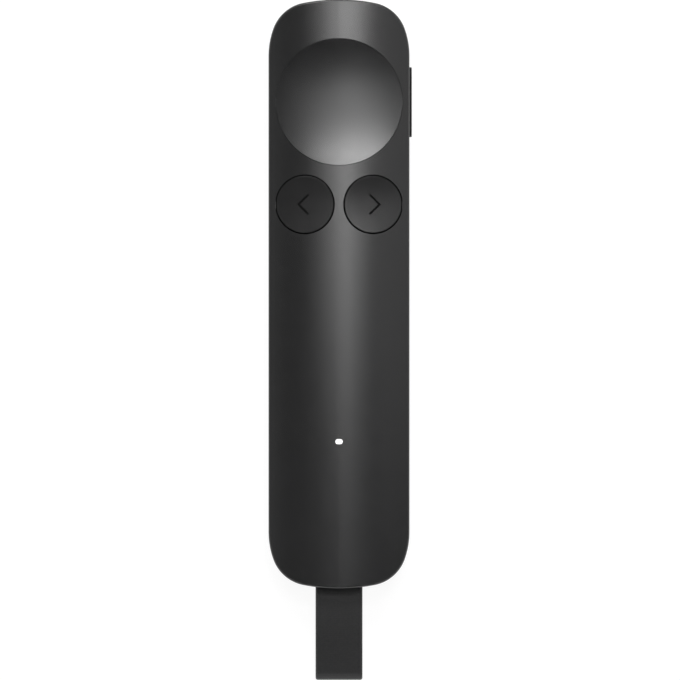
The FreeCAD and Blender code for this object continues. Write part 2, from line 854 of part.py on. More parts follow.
def bent_path(points, bend):
    """Straight runs joined by tangent arcs of one radius."""
    edges = []
    start = points[0]
    for before, corner, after in zip(points, points[1:], points[2:]):
        arriving = (corner - before).normalize()
        leaving = (after - corner).normalize()
        half_turn = arriving.getAngle(leaving) / 2
        cut_back = bend * math.tan(half_turn)
        inward = (leaving - arriving).normalize()
        first = corner - arriving * cut_back
        last = corner + leaving * cut_back
        middle = corner + inward * (bend / math.cos(half_turn) - bend)
        edges.append(Part.LineSegment(start, first).toShape())
        edges.append(Part.Arc(first, middle, last).toShape())
        start = last
    edges.append(Part.LineSegment(start, points[-1]).toShape())
    return Part.Wire(edges)


def lead(points, bend, radius):
    """Insulated wire along a bent path."""
    section = Part.Wire(Part.makeCircle(radius, points[0], points[1] - points[0]))
    return bent_path(points, bend).makePipeShell([section], True, False)


def laser_leads():
    """Two short wires from the driver board down to the main board."""
    leads = []
    top = driver_top_z + laser_lead_rise
    for side in (-1, 1):
        x = side * laser_lead_x
        y0 = board_nose_y - laser_lead_inset
        y1 = driver_rear_y + laser_lead_inset
        route = [vec(x, y0, board_top_z), vec(x, y0, top), vec(x, y1, top), vec(x, y1, driver_top_z)]
        leads.append(lead(route, laser_lead_bend, laser_lead_radius))
    return Part.makeCompound(leads)


def charge_port_shell():
    """Pressed shell of the charge port, with four tabs on the board."""
    half_width = port_width / 2
    half_height = port_height / 2
    outer_height = half_height + port_wall
    shell = long_bar(half_width + port_wall, outer_height, outer_height, port_mouth_y, port_back_y)
    tab_z = board_top_z + port_wall
    tabs = []
    for side in (-1, 1):
        low, high = sorted((side * half_width, side * (half_width + port_wall + port_tab_width)))
        for y in (port_mouth_y + port_tab_inset, port_back_y - port_tab_inset):
            half = port_tab_length / 2
            tabs.append(block(low, high, y - half, y + half, board_top_z, tab_z))
    bore = long_bar(half_width, half_height, half_height, port_mouth_y - overrun, port_back_y + overrun)
    return shell.fuse(tabs).cut(bore).removeSplitter()


def charge_port_tongue():
    """Insulating base and contact tongue inside the charge port."""
    half_height = port_height / 2 - seat_fit
    base_y = port_back_y - port_base
    base = long_bar(port_width / 2 - seat_fit, half_height, half_height, base_y, port_back_y)
    half_width = port_tongue_width / 2
    level = port_tongue_thickness / 2
    tip_y = base_y - port_tongue_length
    return base.fuse(block(-half_width, half_width, tip_y, base_y, axis_z - level, axis_z + level))


def chassis():
    """Inner frame: rails under the board, bars under the switches and the laser cradle."""
    half = chassis_half_width
    frame = block(-half, half, chassis_tail_y, chassis_nose_y, floor_z, board_bottom_z)
    low = floor_z - overrun
    high = board_bottom_z + overrun
    bars = (
        (chassis_tail_y, chassis_tail_y + chassis_tail_bar),
        (small_y - chassis_middle_bar / 2, small_y + chassis_middle_bar / 2),
        (disc_y - chassis_front_bar / 2, disc_y + chassis_front_bar / 2),
        (chassis_nose_y - chassis_rail, chassis_nose_y),
    )
    cuts = []
    for behind, ahead in zip(bars, bars[1:]):
        cuts.append(block(-bar_half_width, bar_half_width, behind[1], ahead[0], low, high))
    drop_z = board_bottom_z - chassis_tail_bar_drop
    cuts.append(block(-bar_half_width, bar_half_width, chassis_tail_y - overrun, bars[0][1], drop_z, high))
    frame = frame.cut(cuts)
    posts = [post(chassis_post_radius, x, y, floor_z, board_bottom_z) for x, y in board_screw_places]
    front_y = barrel_front_y - cradle_setback
    cradle_y = front_y - cradle_length
    neck_z = floor_z + cradle_neck_height
    cradle = block(-cradle_half_width, cradle_half_width, cradle_y, front_y, floor_z, laser_height)
    neck = block(-cradle_half_width, cradle_half_width, chassis_nose_y, cradle_y, floor_z, neck_z)
    frame = frame.fuse(posts + [cradle, neck])
    holes = [long_rod(barrel_radius + seat_fit, 0, laser_height, chassis_nose_y, front_y + overrun)]
    hole_z = board_top_z - board_screw_length - step_gap
    for x, y in board_screw_places:
        holes.append(post(board_screw_radius + thread_fit, x, y, max(hole_z, floor_z), high))
    return frame.cut(holes).removeSplitter()


def battery_cell():
    """Flat rechargeable cell between the chassis rails."""
    sizes = (battery_half_width, battery_half_length, battery_corner_radius)
    return plate(0, battery_middle_y, *sizes, battery_z, battery_z + battery_thickness)


def battery_adhesive():
    """Double-sided tape under the cell."""
    size = (battery_half_width - adhesive_margin, battery_half_length - adhesive_margin, adhesive_thickness)
    return chip(size, 0, battery_middle_y, floor_z)


def battery_protection_board():
    """Narrow circuit board at the cell's rear end."""
    size = (battery_half_width - protection_side_gap, protection_length / 2, protection_thickness)
    middle = protection_rear_y + protection_length / 2
    return chip(size, 0, middle, battery_middle_z - protection_thickness / 2)


def battery_connector():
    """Two-way connector under the main board."""
    return chip(connector_size, connector_x, connector_middle_y, board_bottom_z - connector_size[2])


def battery_leads():
    """Two wires from the protection board to the connector."""
    leads = []
    climb = connector_middle_z - battery_middle_z
    for side in (-1, 1):
        x = connector_x + side * battery_lead_x
        y1 = protection_rear_y - battery_lead_straight
        route = [
            vec(x, protection_rear_y, battery_middle_z),
            vec(x, y1, battery_middle_z),
            vec(x, y1 - climb, connector_middle_z),
            vec(x, connector_front_y, connector_middle_z),
        ]
        leads.append(lead(route, battery_lead_bend, battery_lead_radius))
    return Part.makeCompound(leads)


def haptic_leads():
    """Two wires from the buzzer motor up to the board."""
    leads = []
    level = haptic_z + haptic_thickness / 2
    for side in (-1, 1):
        x = side * haptic_lead_x
        y0 = haptic_y - haptic_radius
        y1 = y0 - haptic_lead_reach
        route = [vec(x, y0, level), vec(x, y1, level), vec(x, y1, board_bottom_z)]
        leads.append(lead(route, haptic_lead_bend, haptic_lead_radius))
    return Part.makeCompound(leads)


def receiver_bay():
    """Sleeve behind the tail's mouth, with a window for the plug and two feet."""
    margin = bay_wall
    sleeve = long_bar(
        bay_half_width + margin, bay_half_height + margin, bay_corner_radius + margin, tail_y, bay_end_y
    )
    feet = []
    foot_top = axis_z - bay_half_height - bay_wall / 2
    for side in (-1, 1):
        low, high = sorted((side * bay_foot_x, side * (bay_foot_x + bay_foot_width)))
        feet.append(block(low, high, tail_y, bay_end_y, floor_z, foot_top))
    window = long_bar(
        (port_width + port_wall) / 2,
        (port_height + port_wall) / 2,
        (port_height + port_wall) / 2,
        bay_end_y - overrun,
        bay_end_y + overrun,
    )
    solid = sleeve.fuse(feet).cut([bay_mouth(bay_end_y - bay_wall), window])
    return solid.common(prism(wall + seat_fit, 0, body_height)).removeSplitter()


def receiver_case():
    """Receiver's case: open in front, with the strap slot and the pin bore behind."""
    half_width = receiver_width / 2
    half_height = receiver_height / 2
    case = long_bar(half_width, half_height, receiver_corner_radius, tail_y - overrun, receiver_front_y)
    case = case.common(prism(0, 0, body_height))
    inner = receiver_corner_radius - receiver_wall
    hollow = long_bar(
        half_width - receiver_wall,
        half_height - receiver_wall,
        inner,
        strap_slot_y + receiver_bulkhead,
        receiver_front_y + overrun,
    )
    slot_half_width = strap_width / 2 + strap_slot_side_play
    slot = long_bar(
        slot_half_width, strap_slot_half_height, strap_slot_side_play, tail_y - overrun, strap_slot_y
    )
    bore_x = -slot_half_width - pin_bury
    bore = Part.makeCylinder(pin_radius + thread_fit, body_width, vec(bore_x, pin_y, axis_z), ACROSS)
    return case.cut([hollow, slot, bore])


def receiver_front():
    """Front plate of the receiver, round the plug."""
    half_width = receiver_width / 2 - receiver_wall - seat_fit
    half_height = receiver_height / 2 - receiver_wall - seat_fit
    corner = receiver_corner_radius - receiver_wall
    rear_y = receiver_front_y - receiver_front_thickness
    front = long_bar(half_width, half_height, corner, rear_y, receiver_front_y)
    hole = plug_section(seat_fit, rear_y - overrun, receiver_front_y + overrun)
    return front.cut(hole)


def plug_section(margin, y0, y1):
    """The plug's section with a margin, between two stations."""
    half_height = plug_height / 2 + margin
    return long_bar(plug_width / 2 + margin, half_height, half_height, y0, y1)


def plug_shell():
    """Seamless metal shell of the plug."""
    return plug_section(0, plug_rear_y, plug_tip_y).cut(
        plug_section(-plug_wall, plug_rear_y - overrun, plug_tip_y + overrun)
    )


def plug_insulator():
    """Plastic core of the plug, with the slot that takes the port's tongue."""
    core = plug_section(-plug_wall - thread_fit, plug_rear_y, plug_tip_y - plug_wall)
    half_width = plug_slot_width / 2
    level = plug_slot_height / 2
    slot_y = plug_tip_y - plug_slot_depth
    return core.cut(block(-half_width, half_width, slot_y, plug_tip_y, axis_z - level, axis_z + level))


def receiver_board():
    """Receiver's circuit board behind the plug."""
    half = receiver_board_half_width
    level = receiver_board_thickness / 2
    span = (receiver_board_rear_y, receiver_board_front_y)
    return block(-half, half, *span, axis_z - level, axis_z + level)


def receiver_chip():
    """Radio chip on the receiver's board."""
    middle = (receiver_board_rear_y + receiver_board_front_y) / 2
    half_length = receiver_board_front_y - middle - receiver_chip_end_gap
    size = (receiver_chip_half_width, half_length, receiver_chip_height)
    return chip(size, 0, middle, axis_z + receiver_board_thickness / 2)


def strap_pin():
    """Steel pin across the receiver, inside the strap's loop."""
    reach = strap_width / 2 + strap_slot_side_play + pin_bury
    return Part.makeCylinder(pin_radius, 2 * reach, vec(-reach, pin_y, axis_z), ACROSS)


def strap_rim(offset):
    """One edge of the strap seen from the side: round the pin, out, round the fold and back."""
    out = -ALONG
    half = (strap_thickness + strap_layer_gap) / 2
    blend = strap_blend_radius
    pin_bend = pin_radius + seat_fit + strap_thickness / 2
    fold = strap_fold_radius
    pin_angle = math.acos((half + blend) / (pin_bend + blend))
    fold_tilt = math.asin((2 * half + blend - fold) / (fold + blend))
    droop = math.radians(strap_droop_turn)
    pin = vec(0, pin_y, axis_z)
    parallel = pin + out * ((pin_bend + blend) * math.sin(pin_angle))
    droop_start = vec(0, tail_y, axis_z) + out * strap_straight
    droop_centre = droop_start - UP * strap_droop_radius
    out_end = out * math.cos(droop) - UP * math.sin(droop)
    up_end = out * math.sin(droop) + UP * math.cos(droop)
    fold_blend = (fold + blend) * math.cos(fold_tilt)
    fold_drop = fold - half
    fold_out = strap_reach - strap_straight - fold - strap_thickness / 2
    run = (fold_out - (strap_droop_radius - fold_drop) * math.sin(droop)) / math.cos(droop) - fold_blend
    apart = droop_centre + up_end * strap_droop_radius + out_end * run
    fold_centre = apart + out_end * fold_blend - up_end * fold_drop
    rise = half + blend
    inner = blend - offset
    quarter = math.pi / 2
    return [
        arc_points(parallel + UP * rise, out, UP, inner, 3 * quarter - pin_angle, 3 * quarter),
        arc_points(droop_centre, out, UP, strap_droop_radius + half + offset, quarter, quarter - droop),
        arc_points(fold_centre, out_end, up_end, fold + offset, quarter, fold_tilt - 2 * quarter),
        arc_points(apart - up_end * rise, out_end, up_end, inner, fold_tilt, quarter),
        arc_points(droop_centre, out, UP, strap_droop_radius - half - offset, quarter - droop, quarter),
        arc_points(parallel - UP * rise, out, UP, inner, quarter, quarter + pin_angle),
        arc_points(pin, out, UP, pin_bend + offset, 3 * quarter + pin_angle, quarter - pin_angle),
    ]


def strap():
    """Webbing loop: round the pin, out of the tail and back from its fold."""
    outer = closed_face(strap_rim(strap_thickness / 2))
    inner = closed_face(strap_rim(-strap_thickness / 2))
    band = outer.cut(inner)
    band.translate(ACROSS * (-strap_width / 2))
    return band.extrude(ACROSS * strap_width)


def build():
    """Every node of the clicker by name."""
    crystal_y = radio_y + crystal_spacing
    antenna_outer_x = antenna_side_gap - board_half_width
    antenna_inner_x = -switch_side / 2 - antenna_switch_gap
    antenna_x = (antenna_outer_x + antenna_inner_x) / 2
    antenna_y = board_nose_y - antenna_edge_gap - antenna_half_length
    antenna_size = (antenna_inner_x - antenna_x, antenna_half_length, antenna_height)
    sensor_x = sensor_side_gap - board_half_width
    charger_x = board_half_width - charger_side_gap
    return {
        "top_shell": top_shell(),
        "bottom_shell": bottom_shell(),
        "back_pad": back_pad(),
        "case_screws": case_screws(),
        "chassis": chassis(),
        "receiver_bay": receiver_bay(),
        "pointer_button": pointer_button(),
        "back_button": small_button(-1),
        "next_button": small_button(1),
        "side_button": side_button(),
        "pointer_switch": switch(0, disc_y, disc_travel),
        "pointer_switch_plunger": plunger(0, disc_y),
        "back_switch": switch(-small_button_x, small_y, small_travel),
        "back_switch_plunger": plunger(-small_button_x, small_y),
        "next_switch": switch(small_button_x, small_y, small_travel),
        "next_switch_plunger": plunger(small_button_x, small_y),
        "side_switch": side_switch(),
        "side_switch_plunger": side_switch_plunger(),
        "light_pipe": light_pipe(),
        "status_led": chip(led_size, 0, light_y, board_top_z),
        "main_board": main_board(),
        "board_screws": board_screws(),
        "radio_chip": chip(radio_chip_size, 0, radio_y, board_top_z),
        "radio_crystal": chip(crystal_size, 0, crystal_y, board_top_z),
        "radio_shield": radio_shield(),
        "chip_antenna": chip(antenna_size, antenna_x, antenna_y, board_top_z),
        "motion_sensor": chip(motion_sensor_size, sensor_x, haptic_y, board_top_z),
        "charger_chip": chip(charger_chip_size, charger_x, light_y + charger_spacing, board_top_z),
        "small_components": small_components(),
        "charge_port_shell": charge_port_shell(),
        "charge_port_tongue": charge_port_tongue(),
        "laser_window": laser_window(),
        "laser_barrel": laser_barrel(),
        "laser_lens": laser_lens(),
        "laser_diode": laser_diode(),
        "laser_driver_board": laser_driver_board(),
        "laser_leads": laser_leads(),
        "battery_cell": battery_cell(),
        "battery_adhesive": battery_adhesive(),
        "battery_protection_board": battery_protection_board(),
        "battery_leads": battery_leads(),
        "battery_connector": battery_connector(),
        "haptic_motor": post(haptic_radius, 0, haptic_y, haptic_z, haptic_z + haptic_thickness),
        "haptic_adhesive": post(haptic_radius - haptic_pad_margin, 0, haptic_y, floor_z, haptic_z),
        "haptic_leads": haptic_leads(),
        "receiver_case": receiver_case(),
        "receiver_front": receiver_front(),
        "receiver_board": receiver_board(),
        "receiver_chip": receiver_chip(),
        "plug_shell": plug_shell(),
        "plug_insulator": plug_insulator(),
        "strap_pin": strap_pin(),
        "strap": strap(),
    }


os.makedirs("parts", exist_ok=True)
for name, shape in build().items():
    shape.exportStep("parts/" + name + ".step")
    solids = len(shape.Solids)
    print(f"{name:26s} solids {solids:2d}  valid {shape.isValid()}  volume {shape.Volume:10.3f}")
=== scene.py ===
import math

import bpy
import numpy as np
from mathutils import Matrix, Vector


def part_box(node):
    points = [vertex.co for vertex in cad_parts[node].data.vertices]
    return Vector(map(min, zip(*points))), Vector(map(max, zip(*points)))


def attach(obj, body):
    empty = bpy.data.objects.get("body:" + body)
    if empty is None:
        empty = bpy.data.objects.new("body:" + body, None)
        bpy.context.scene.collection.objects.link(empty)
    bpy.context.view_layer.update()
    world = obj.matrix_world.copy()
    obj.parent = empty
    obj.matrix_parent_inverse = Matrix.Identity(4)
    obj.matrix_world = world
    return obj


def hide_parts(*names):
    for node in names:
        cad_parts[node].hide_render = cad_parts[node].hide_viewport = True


# Wireless presentation clicker, seen from straight above, lying on its back on a white table.
# Lengths are in metres. X is across the body, +Y runs to the nose, +Z is up through the buttons.
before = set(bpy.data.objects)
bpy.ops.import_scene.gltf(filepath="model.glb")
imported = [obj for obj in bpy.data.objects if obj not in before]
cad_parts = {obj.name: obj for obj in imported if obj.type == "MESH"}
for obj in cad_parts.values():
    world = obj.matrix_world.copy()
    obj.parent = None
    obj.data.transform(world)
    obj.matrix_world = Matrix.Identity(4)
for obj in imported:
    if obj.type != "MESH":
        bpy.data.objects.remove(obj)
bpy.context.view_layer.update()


# Casing: top shell, bottom shell, receiver case and receiver front
# The real ones are injection moulded from dark graphite plastic, spark eroded to a fine satin
# grain. The two shells lap at the seam and are held by four screws from the back.

def shader_socket(material, name):
    """Input socket of the material's Principled shader."""
    return material.node_tree.nodes["Principled BSDF"].inputs[name]


def set_shader(material, **values):
    """Set sockets of the material's shader to plain values."""
    for name, value in values.items():
        shader_socket(material, name.replace("_", " ")).default_value = value


def new_material(name, **values):
    """Material of one Principled shader, whose sockets are set to plain values."""
    material = bpy.data.materials.new(name)
    material.use_nodes = True
    set_shader(material, **values)
    return material


def add_node(material, kind, **values):
    """Node of a kind in a material's tree, with its properties or input sockets set."""
    added = material.node_tree.nodes.new(kind)
    for name, value in values.items():
        if name in added.inputs:
            added.inputs[name].default_value = value
        else:
            setattr(added, name, value)
    return added


def join(material, source, target):
    """Link from one socket to another."""
    material.node_tree.links.new(source, target)


def feed(material, name, source):
    """Let a pattern drive the named socket of the material's shader."""
    join(material, source, shader_socket(material, name))


def solid_point(material):
    """Place in the solid, in metres: the socket that a pattern reads."""
    return add_node(material, "ShaderNodeTexCoord").outputs["Object"]


def noise(material, grain, detail=2.0, point=None):
    """Cloudy pattern whose lumps are about one grain across."""
    pattern = add_node(material, "ShaderNodeTexNoise", Scale=1 / grain, Detail=detail)
    join(material, point or solid_point(material), pattern.inputs["Vector"])
    return pattern.outputs["Fac"]


def spread(material, source, low, high, start=0.3, finish=0.7):
    """Value that runs from low to high as its source runs from start to finish."""
    ramp = add_node(material, "ShaderNodeMapRange")
    ramp.inputs["From Min"].default_value = start
    ramp.inputs["From Max"].default_value = finish
    ramp.inputs["To Min"].default_value = low
    ramp.inputs["To Max"].default_value = high
    join(material, source, ramp.inputs["Value"])
    return ramp.outputs["Result"]


def clouds(material, grain, detail=2.0):
    """Cloudy pattern stretched to run from 0 to 1."""
    return spread(material, noise(material, grain, detail), 0, 1)


def tint(material, source, dark, light):
    """Colour that runs from dark to light as its source runs from 0 to 1.

    Each end is a plain colour or the socket of another colour.
    """
    blend = add_node(material, "ShaderNodeMix", data_type="RGBA")
    ends = [socket for socket in blend.inputs if socket.type == "RGBA"]
    for socket, colour in zip(ends, (dark, light)):
        if isinstance(colour, bpy.types.NodeSocket):
            join(material, colour, socket)
        else:
            socket.default_value = (*colour, 1)
    join(material, source, blend.inputs["Factor"])
    return next(socket for socket in blend.outputs if socket.type == "RGBA")


def relief(material, source, depth):
    """Raise the surface by up to a depth where the source is 1."""
    bump = add_node(material, "ShaderNodeBump", Strength=1.0, Distance=depth)
    join(material, source, bump.inputs["Height"])
    join(material, bump.outputs["Normal"], shader_socket(material, "Normal"))


def moulded(name, dark, light, gloss, grain, depth, refraction=1.5):
    """Moulded plastic: faint cloud in its colour, fine eroded grain, slightly uneven gloss.

    Gloss is the least and the greatest roughness. Grain is how wide the eroded lumps are, and depth
    is how far they stand up.
    """
    colour_grain = 0.006
    gloss_grain = 0.0015
    material = new_material(name, IOR=refraction)
    feed(material, "Base Color", tint(material, clouds(material, colour_grain, detail=4.0), dark, light))
    feed(material, "Roughness", spread(material, noise(material, gloss_grain), *gloss))
    relief(material, noise(material, grain, detail=1.0), depth)
    return material


def dress(material, *names):
    """Give a material to CAD nodes."""
    for name in names:
        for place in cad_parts[name].material_slots:
            place.material = material


casing = moulded(
    "graphite casing",
    dark=(0.0138, 0.0138, 0.0141),
    light=(0.0162, 0.0162, 0.0165),
    gloss=(0.19, 0.21),
    grain=0.00012,
    depth=0.0000006,
    refraction=1.62,
)
dress(casing, "top_shell", "bottom_shell", "receiver_case", "receiver_front")


# Back pad
# Thin die-cut sheet of soft elastomer, matt and slightly dusty, stuck into the recess of the back.
# It hides the four case screws and keeps the clicker from sliding.

soft_pad = moulded(
    "elastomer pad",
    dark=(0.012, 0.012, 0.012),
    light=(0.022, 0.022, 0.023),
    gloss=(0.55, 0.7),
    grain=0.00025,
    depth=0.00001,
)
dress(soft_pad, "back_pad")


# Button caps and side key
# Moulded in the same graphite plastic with a slightly closer grain, the side key in matt black. The
# large cap hangs by two tabs and each small one by a flange. Below a height the small caps are coloured
# black and dull like their engraved chevrons: painted shade, which shows as the dark ring in the gap
# round each. All of them stand on their switches.

def middle_of(node):
    """Middle of a CAD node's box, to the nearest micrometre."""
    low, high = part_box(node)
    return [round((first + second) / 2, 6) for first, second in zip(low, high)]


def place_along(material, axis, point=None):
    """One coordinate of the place in the solid, or of another point."""
    axes = add_node(material, "ShaderNodeSeparateXYZ")
    join(material, point or solid_point(material), axes.inputs["Vector"])
    return axes.outputs[axis]


def reckon(material, operation, first, second=None):
    """Sum on one or two values, each a socket or a plain number."""
    sum_node = add_node(material, "ShaderNodeMath", operation=operation)
    for socket, value in zip(sum_node.inputs, (first, second)):
        if isinstance(value, bpy.types.NodeSocket):
            join(material, value, socket)
        elif value is not None:
            socket.default_value = value
    return sum_node.outputs[0]


def chevron_mask(material, tip_x, middle_y, length, half_height, half_stroke):
    """1 inside the two strokes of a chevron and of its mirror image across the body, 0 outside.

    The place is folded across the body and across the chevron. Its distance from the stroke is the
    cross product with the stroke's direction, and how far along it lies is the dot product. The
    strokes run a little past the tip, so that they close its corner.
    """
    tip_overrun = 1.5 * half_stroke
    stroke = math.hypot(length, half_height)
    inward_share = length / stroke
    sideways_share = half_height / stroke
    inward = reckon(material, "SUBTRACT", tip_x, reckon(material, "ABSOLUTE", place_along(material, "X")))
    off_middle = reckon(material, "SUBTRACT", place_along(material, "Y"), middle_y)
    sideways = reckon(material, "ABSOLUTE", off_middle)
    cross = reckon(
        material,
        "SUBTRACT",
        reckon(material, "MULTIPLY", inward, sideways_share),
        reckon(material, "MULTIPLY", sideways, inward_share),
    )
    along = reckon(
        material,
        "ADD",
        reckon(material, "MULTIPLY", inward, inward_share),
        reckon(material, "MULTIPLY", sideways, sideways_share),
    )
    near = reckon(material, "LESS_THAN", reckon(material, "ABSOLUTE", cross), half_stroke)
    started = reckon(material, "GREATER_THAN", along, -tip_overrun)
    ended = reckon(material, "LESS_THAN", along, stroke + half_stroke)
    return reckon(material, "MULTIPLY", near, reckon(material, "MULTIPLY", started, ended))


cap_surface = {"gloss": (0.19, 0.21), "grain": 0.0001, "depth": 0.0000005}
# The large cap is coloured a shade darker than the casing: painted shade on the same plastic.
button_cap = moulded(
    "graphite caps", dark=(0.011, 0.011, 0.0113), light=(0.013, 0.013, 0.0133), **cap_surface
)
dress(button_cap, "pointer_button")

small_y = middle_of("back_button")[1]
chevron_tip_x = 0.008625
chevron_length = 0.001955
chevron_half_height = 0.00193
chevron_half_stroke = 0.00023
# Below this height the small caps are painted black and dull: painted shade in the gap round each cap.
painted_shade_below_z = 0.009996
ink_and_shade_black = (0.004, 0.004, 0.004)
ink_and_shade_roughness = 0.8
plastic_specular = 0.5
ink_and_shade_specular = 0.15
# The small caps are coloured a shade lighter than the casing: painted light on the same plastic.
engraved_cap = moulded(
    "engraved caps", dark=(0.016, 0.016, 0.0163), light=(0.0185, 0.0185, 0.0188), **cap_surface
)
engraving = chevron_mask(
    engraved_cap, chevron_tip_x, small_y, chevron_length, chevron_half_height, chevron_half_stroke
)
# Painted shade: below that height the cap takes the chevrons' black ink and low specular level.
painted_gap_shade = reckon(engraved_cap, "LESS_THAN", place_along(engraved_cap, "Z"), painted_shade_below_z)
ink_and_painted_shade = reckon(engraved_cap, "MAXIMUM", engraving, painted_gap_shade)
bare_colour = shader_socket(engraved_cap, "Base Color").links[0].from_socket
bare_roughness = shader_socket(engraved_cap, "Roughness").links[0].from_socket
inked_or_shaded_roughness = reckon(engraved_cap, "MULTIPLY", ink_and_painted_shade, ink_and_shade_roughness)
feed(engraved_cap, "Base Color", tint(engraved_cap, ink_and_painted_shade, bare_colour, ink_and_shade_black))
feed(engraved_cap, "Roughness", reckon(engraved_cap, "MAXIMUM", bare_roughness, inked_or_shaded_roughness))
feed(engraved_cap, "Specular IOR Level", spread(engraved_cap, ink_and_painted_shade, plastic_specular, ink_and_shade_specular, 0, 1))
dress(engraved_cap, "back_button", "next_button")

key_skin = moulded(
    "soft black key",
    dark=(0.006, 0.006, 0.006),
    light=(0.01, 0.01, 0.01),
    gloss=(0.55, 0.65),
    grain=0.00015,
    depth=0.000004,
)
set_shader(key_skin, Specular_IOR_Level=0.25)
dress(key_skin, "side_button")


# Chassis, receiver bay and switches
# Plain black mouldings inside the shells, left as they come from the tool. Each switch has a pale
# nylon plunger that its key or cap presses.

frame_plastic = moulded(
    "black frame",
    dark=(0.01, 0.01, 0.01),
    light=(0.016, 0.016, 0.016),
    gloss=(0.42, 0.52),
    grain=0.0002,
    depth=0.000004,
)
dress(frame_plastic, "chassis", "receiver_bay", "pointer_switch", "back_switch", "next_switch", "side_switch")

nylon = moulded(
    "pale nylon",
    dark=(0.52, 0.52, 0.49),
    light=(0.62, 0.62, 0.6),
    gloss=(0.35, 0.45),
    grain=0.0002,
    depth=0.000002,
)
set_shader(nylon, Subsurface_Weight=0.15, Subsurface_Scale=0.0005)
dress(
    nylon, "pointer_switch_plunger", "back_switch_plunger", "next_switch_plunger", "side_switch_plunger"
)


# Status light
# A white LED on the main board shines up a clear moulded light pipe, whose top end shows as a small
# lit pill in the crown.

pipe_glow = new_material(
    "lit light pipe", Roughness=0.25, IOR=1.49, Emission_Color=(1, 1, 1, 1), Emission_Strength=1.0
)
pipe_cloud = clouds(pipe_glow, grain=0.0008)
feed(pipe_glow, "Base Color", tint(pipe_glow, pipe_cloud, dark=(0.86, 0.87, 0.88), light=(0.93, 0.93, 0.93)))
dress(pipe_glow, "light_pipe")

led_glow = new_material(
    "lit diode", Roughness=0.3, Emission_Color=(1, 1, 0.97, 1), Emission_Strength=3.0
)
led_cloud = clouds(led_glow, grain=0.0004)
feed(led_glow, "Base Color", tint(led_glow, led_cloud, dark=(0.85, 0.83, 0.6), light=(0.92, 0.9, 0.75)))
dress(led_glow, "status_led")


# Circuit boards
# Glass-epoxy laminate under green solder mask, with copper tracks that show as a faint lighter
# relief. The tracks are the narrow borders between irregular cells.

tracks_per_metre = 700.0
circuit_board = new_material("solder mask", Roughness=0.3, Coat_Weight=0.4, Coat_Roughness=0.1)
cells = add_node(circuit_board, "ShaderNodeTexVoronoi", feature="DISTANCE_TO_EDGE", Scale=tracks_per_metre)
join(circuit_board, solid_point(circuit_board), cells.inputs["Vector"])
tracks = spread(circuit_board, cells.outputs["Distance"], low=1, high=0, start=0.03, finish=0.06)
mask_colour = tint(circuit_board, tracks, dark=(0.008, 0.07, 0.028), light=(0.02, 0.16, 0.06))
feed(circuit_board, "Base Color", mask_colour)
relief(circuit_board, tracks, depth=0.00003)
dress(circuit_board, "main_board", "laser_driver_board", "battery_protection_board", "receiver_board")


# Chips and other parts on the boards
# Moulded black epoxy packages, pale ceramic parts and an antenna, soldered to the boards, and the
# black insulators in the port and the plug.

chip_black = moulded(
    "epoxy package",
    dark=(0.011, 0.011, 0.012),
    light=(0.018, 0.018, 0.019),
    gloss=(0.4, 0.5),
    grain=0.00006,
    depth=0.000004,
)
dress(
    chip_black, "radio_chip", "motion_sensor", "charger_chip", "receiver_chip", "charge_port_tongue",
    "plug_insulator"
)

chip_white = moulded(
    "pale ceramic",
    dark=(0.62, 0.58, 0.5),
    light=(0.76, 0.74, 0.69),
    gloss=(0.3, 0.45),
    grain=0.00008,
    depth=0.000004,
)
dress(chip_white, "chip_antenna", "small_components", "battery_connector")


# Steel pieces
# Screws, can, crystal, plug and port shells, pin and motor are pressed or turned steel with a thin
# bright plating, drawn along the body.

drawn_stretch = (1, 0.06, 1)
steel = new_material("plated steel", Metallic=1.0)
drawn = add_node(steel, "ShaderNodeMapping", Scale=drawn_stretch)
join(steel, solid_point(steel), drawn.inputs["Vector"])
draw_lines = noise(steel, 0.00012, detail=3.0, point=drawn.outputs["Vector"])
feed(steel, "Base Color", tint(steel, draw_lines, dark=(0.5, 0.5, 0.51), light=(0.7, 0.7, 0.7)))
feed(steel, "Roughness", spread(steel, draw_lines, low=0.22, high=0.34))
relief(steel, draw_lines, depth=0.0000015)
dress(
    steel, "case_screws", "board_screws", "radio_crystal", "radio_shield", "charge_port_shell",
    "laser_diode", "haptic_motor", "plug_shell", "strap_pin"
)


# Laser
# Turned brass barrel with its lens and diode behind a tinted window in the nose. The lens and the
# window are the same dark smoky glass.

brass = new_material("turned brass", Metallic=1.0)
turning = noise(brass, 0.0002)
feed(brass, "Base Color", tint(brass, turning, dark=(0.6, 0.42, 0.17), light=(0.78, 0.58, 0.28)))
feed(brass, "Roughness", spread(brass, turning, low=0.2, high=0.32))
dress(brass, "laser_barrel")

window_glass = new_material("tinted window", Transmission_Weight=1.0, IOR=1.49)
smoke = clouds(window_glass, grain=0.003)
smoke_colour = tint(window_glass, smoke, dark=(0.09, 0.09, 0.095), light=(0.12, 0.12, 0.125))
feed(window_glass, "Base Color", smoke_colour)
feed(window_glass, "Roughness", spread(window_glass, noise(window_glass, 0.001), low=0.02, high=0.05))
dress(window_glass, "laser_window", "laser_lens")


# Leads
# Thin stranded wires in soft coloured sleeves, red on one side of each pair and black on the other,
# held inside along their whole length.

colour_change = 0.00005
sleeve = new_material("wire sleeves", Roughness=0.45)
red_side = spread(sleeve, place_along(sleeve, "X"), 0, 1, start=-colour_change, finish=colour_change)
sleeve_colour = tint(sleeve, red_side, dark=(0.014, 0.014, 0.015), light=(0.42, 0.025, 0.018))
feed(sleeve, "Base Color", sleeve_colour)
relief(sleeve, noise(sleeve, 0.0003), depth=0.00001)
dress(sleeve, "laser_leads", "battery_leads", "haptic_leads")


# Battery and the tapes that hold it and the motor
# Pouch cell in crinkled aluminium laminate. It and the haptic motor are stuck down with pale
# double-sided foam tape.

